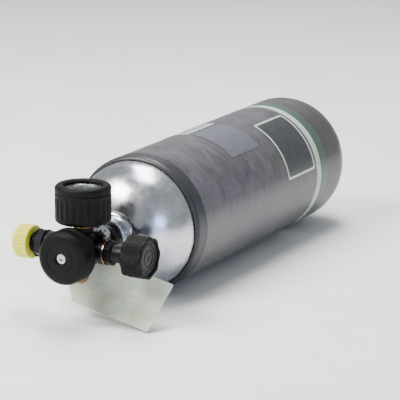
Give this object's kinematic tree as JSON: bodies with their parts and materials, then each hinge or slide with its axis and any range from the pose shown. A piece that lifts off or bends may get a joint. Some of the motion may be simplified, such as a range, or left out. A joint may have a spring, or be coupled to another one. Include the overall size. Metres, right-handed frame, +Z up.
{
  "type": "breathing-air cylinder with hand valve",
  "caption": "Hoop-wrapped aluminium breathing-air cylinder lying on its side, with hand valve, guarded pressure gauge, capped outlet, rubber bumper and card tag.",
  "frame": {"origin": "on the supporting surface, under the cylinder's axis and halfway along the whole length", "axes": "+Y along the cylinder's axis towards its base, -Y out of the valve, +Z up towards the gauge, +X towards the handwheel"},
  "size_m": [0.1828, 0.608, 0.16],
  "materials": {
    "bare_aluminium": "bare spun and shot-blasted aluminium, glossy",
    "composite_wrap": "hoop-wound fibre under a clear gel coat",
    "wrap_end": "dark resin-rich end of the winding",
    "black_anodised": "black hard-anodised forging, semi-matt",
    "black_rubber": "moulded black rubber, matt",
    "seal_rubber": "black nitrile seal",
    "brass": "machined brass",
    "steel": "machined stainless steel",
    "copper": "soft copper gasket",
    "nylon": "natural nylon",
    "dial_white": "matt white dial",
    "pointer_red": "red lacquer",
    "clear_lens": "clear polycarbonate, polished",
    "yellow_plastic": "moulded yellow polythene",
    "card": "pale green uncoated tag card"
  },
  "bodies": {
    "cylinder": {"liner": "bare_aluminium", "overwrap": "composite_wrap", "shoulder_band": "wrap_end", "valve_body": "black_anodised", "outlet_adapter": "black_anodised", "gauge_guard": "black_rubber", "front_bumper": "black_rubber", "neck_o_ring": "seal_rubber", "adapter_o_ring": "seal_rubber", "inlet_tube": "brass", "inlet_filter": "brass", "gauge_socket": "brass", "bourdon_tube": "brass", "gauge_movement": "brass", "bonnet": "steel", "gauge_case": "steel", "lens_ring": "steel", "burst_disc": "steel", "burst_plug": "steel", "bumper_screw": "steel", "tag_wire": "steel", "bonnet_gasket": "copper", "burst_gasket": "copper", "spindle_washer": "nylon", "gauge_dial": "dial_white", "gauge_lens": "clear_lens"},
    "handwheel": {"upper_spindle": "steel", "handwheel": "black_anodised", "handwheel_grip": "black_rubber", "wheel_spring": "steel", "wheel_nut": "steel", "wheel_cap": "black_anodised"},
    "seat_plug": {"seat_plug": "brass", "seat_insert": "nylon"},
    "pointer": {"gauge_pointer": "pointer_red", "pointer_arbor": "steel"},
    "dust_cap": {"dust_cap": "yellow_plastic"},
    "tag": {"tag": "card", "tag_patch": "card"}
  },
  "joints": [
    {"name": "handwheel_turn", "type": "hinge", "parent": "cylinder", "child": "handwheel", "pos_m": [0.07, -0.254, 0.08], "axis": [1, 0, 0], "range_deg": [0, 810]},
    {"name": "seat_travel", "type": "slide", "parent": "handwheel", "child": "seat_plug", "axis": [1, 0, 0], "range_m": [0, 0.0034]},
    {"name": "pointer_turn", "type": "hinge", "parent": "cylinder", "child": "pointer", "pos_m": [0, -0.254, 0.14], "axis": [0, 0, 1], "range_deg": [-10, 240]},
    {"name": "dust_cap_pull", "type": "slide", "parent": "cylinder", "child": "dust_cap", "axis": [-1, 0, 0], "range_m": [0, 0.04]},
    {"name": "tag_swing", "type": "hinge", "parent": "cylinder", "child": "tag", "pos_m": [-0.014, -0.234, 0.041], "axis": [-1, 0, 0], "range_deg": [0, 45]}
  ],
  "couplings": [
    {"joint": "seat_travel", "follows": "handwheel_turn", "m_per_rad": 0.00023873}
  ]
}
